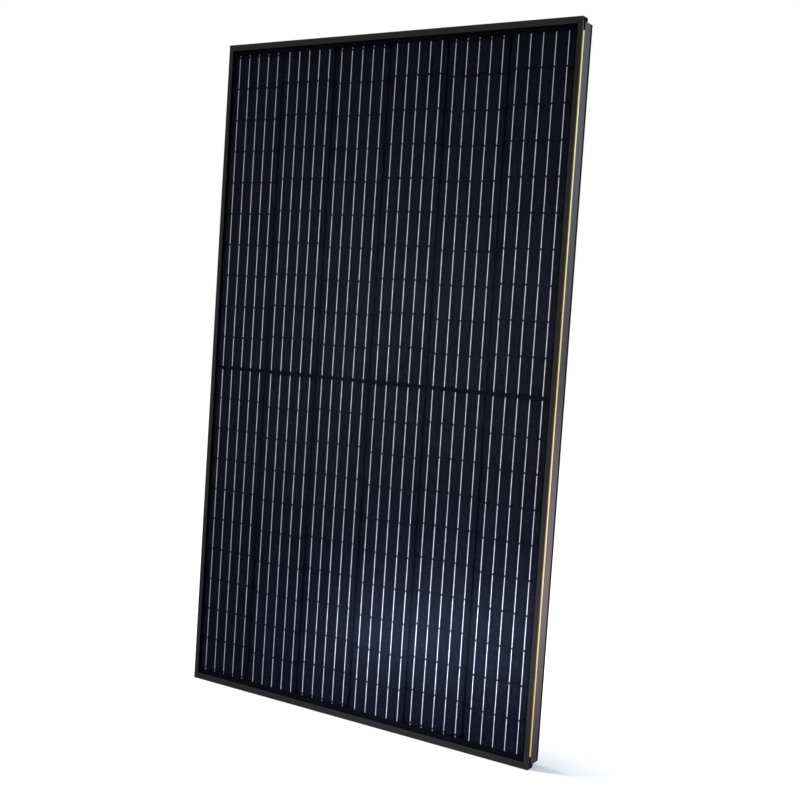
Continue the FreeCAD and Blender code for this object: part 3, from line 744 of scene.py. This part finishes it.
class LaminateLook(bpy.types.PropertyGroup):
    """Colours of the glass, the cells and what holds them"""

    glass_colour: colour_setting("Glass", "Tint of the glass", (0.004, 0.005, 0.008))
    glass_alpha: share_setting("Glass cover", "How much the glass covers what lies behind", 0.03)
    glass_gloss: share_setting("Glass gloss", "Strength of the reflections of the glass", 0.4)
    glass_roughness: share_setting("Glass roughness", "Roughness of the rolled glass", 0.3)
    film_alpha: share_setting("Film cover", "How much a film covers what lies behind", 0.02)
    cell_colour: colour_setting("Cell", "Coated silicon", (0.0017, 0.0012, 0.0050))
    glass_sheen: colour_setting("Glass sheen", "Tint of the glass's reflections", (0.66, 0.70, 1.0))
    cell_sheen: colour_setting("Cell sheen", "Tint of a cell's reflections", (0.50, 0.56, 1.0))
    cell_gloss: share_setting("Cell gloss", "Strength of the reflections of a cell", 0.08)
    finger_colour: colour_setting("Finger", "Printed fingers", (0.014, 0.014, 0.020))
    finger_pitch: length_setting("Finger pitch", "Distance between printed fingers", 0.0016)
    finger_width: length_setting("Finger width", "Width of a printed finger", 0.00012)
    finger_strength: share_setting("Finger strength", "How much of a finger's colour shows", 0.7)
    ribbon_colour: colour_setting("Ribbon", "Tinned ribbon", (0.80, 0.79, 0.77))
    ribbon_metal: share_setting("Ribbon metal", "How metallic the ribbons look", 0.8)
    ribbon_roughness: share_setting("Ribbon roughness", "Roughness of the ribbons", 0.42)
    mask_colour: colour_setting("Mask", "Masking film and edge tape", (0.0006, 0.0005, 0.0022))
    hair: length_setting("Hair", "How far the faces of films and masks are drawn in", 0.00003)
    sheet_colour: colour_setting("Sheet", "Rear sheet", (0.0024, 0.0022, 0.0046))


class BoxLook(bpy.types.PropertyGroup):
    """Colours of the junction boxes and sizes of their small fittings"""

    plastic_colour: colour_setting("Plastic", "Moulded boxes and glands", (0.022, 0.022, 0.024))
    silicone_colour: colour_setting("Silicone", "Bead that bonds a box", (0.10, 0.10, 0.105))
    potting_colour: colour_setting("Potting", "Potting compound", (0.05, 0.05, 0.052))
    contact_colour: colour_setting("Contacts", "Contact rails", (0.70, 0.66, 0.55))
    edge_break: length_setting("Edge", "Width of the rounded edges of a box", 0.0006)
    nut_length: length_setting("Nut", "Length of a gland nut", 0.007)
    nut_ribs: IntProperty(name="Ribs", description="Grip ribs round a gland nut", min=6, default=14)
    rib_height: length_setting("Rib height", "How far a grip rib stands out", 0.0006)
    latch_width: length_setting("Latch", "Width of a lid latch", 0.008)
    latch_proud: length_setting("Latch height", "How far a latch stands out of the lid", 0.0012)
    latch_drop: length_setting("Latch drop", "How far a latch reaches down the box", 0.004)


class StageLook(bpy.types.PropertyGroup):
    """Floor, light and camera"""

    floor_size: length_setting("Floor", "Side of the floor", 24.0)
    floor_colour: colour_setting("Floor colour", "Pale floor", (0.90, 0.90, 0.90))
    ambient: strength_setting("Ambient", "Strength of the dim surroundings", 0.15)
    ambient_colour: colour_setting("Surroundings", "Colour of the dim surroundings", (0.84, 0.88, 1.0))
    sun: strength_setting("Sun", "Strength of the overhead sun", 4.6)
    sun_spread: FloatProperty(
        name="Sun spread", description="Angle that the sun fills", subtype="ANGLE", min=0.0,
        default=math.radians(24),
    )
    side_upper: strength_setting("Upper side lamp", "Watts on the upper side face", 100.0)
    side_lower: strength_setting("Lower side lamp", "Watts on the lower side face", 38.0)
    side_front: strength_setting("Front side lamp", "Watts from the right of the front", 14.0)
    front: strength_setting("Front lamp", "Watts that give the cells their sheen", 47.0)
    front_low: strength_setting("Low front lamp", "Watts for the sheen near the foot", 7.0)
    lens: FloatProperty(name="Lens", description="Focal length in millimetres", min=1.0, default=55.8)
    camera_place: FloatVectorProperty(
        name="Camera", description="Where the camera stands", subtype="TRANSLATION", size=3,
        default=(1.6886, -2.5337, 0.1478),
    )
    camera_turn: FloatVectorProperty(
        name="Camera turn", description="How the camera is turned", subtype="EULER", size=3,
        default=(1.508456, -0.066231, 0.574433),
    )


class SOLAR_PT_looks(bpy.types.Panel):
    """The panel's looks, group by group"""

    bl_idname = "SOLAR_PT_looks"
    bl_label = "Solar panel"
    bl_space_type = "VIEW_3D"
    bl_region_type = "UI"
    bl_category = "Solar panel"

    def draw(self, context):
        scene = context.scene
        groups = (
            (scene.solar_frame, (SOLAR_OT_frame, SOLAR_OT_strips)),
            (scene.solar_laminate, (SOLAR_OT_laminate, SOLAR_OT_cells)),
            (scene.solar_boxes, (SOLAR_OT_boxes, SOLAR_OT_fittings)),
            (scene.solar_stage, (SOLAR_OT_stage,)),
        )
        for look, operators in groups:
            box = self.layout.box()
            for name in look.bl_rna.properties.keys():
                if name not in ("rna_type", "name"):
                    box.prop(look, name)
            for operator in operators:
                box.operator(operator.bl_idname)


SETTINGS = {
    "solar_frame": FrameLook,
    "solar_laminate": LaminateLook,
    "solar_boxes": BoxLook,
    "solar_stage": StageLook,
}
OPERATORS = (
    SOLAR_OT_frame,
    SOLAR_OT_strips,
    SOLAR_OT_laminate,
    SOLAR_OT_cells,
    SOLAR_OT_boxes,
    SOLAR_OT_fittings,
    SOLAR_OT_stage,
)


def register():
    for group in SETTINGS.values():
        bpy.utils.register_class(group)
    for name, group in SETTINGS.items():
        setattr(bpy.types.Scene, name, PointerProperty(type=group))
    for operator in OPERATORS:
        bpy.utils.register_class(operator)
    bpy.utils.register_class(SOLAR_PT_looks)


def unregister():
    bpy.utils.unregister_class(SOLAR_PT_looks)
    for operator in reversed(OPERATORS):
        bpy.utils.unregister_class(operator)
    for name in SETTINGS:
        delattr(bpy.types.Scene, name)
    for group in SETTINGS.values():
        bpy.utils.unregister_class(group)


def main():
    register()
    bpy.ops.solar.frame()
    bpy.ops.solar.strips()
    bpy.ops.solar.laminate()
    bpy.ops.solar.cells()
    bpy.ops.solar.boxes()
    bpy.ops.solar.fittings()
    bpy.ops.solar.stage()


if __name__ == "__main__":
    main()
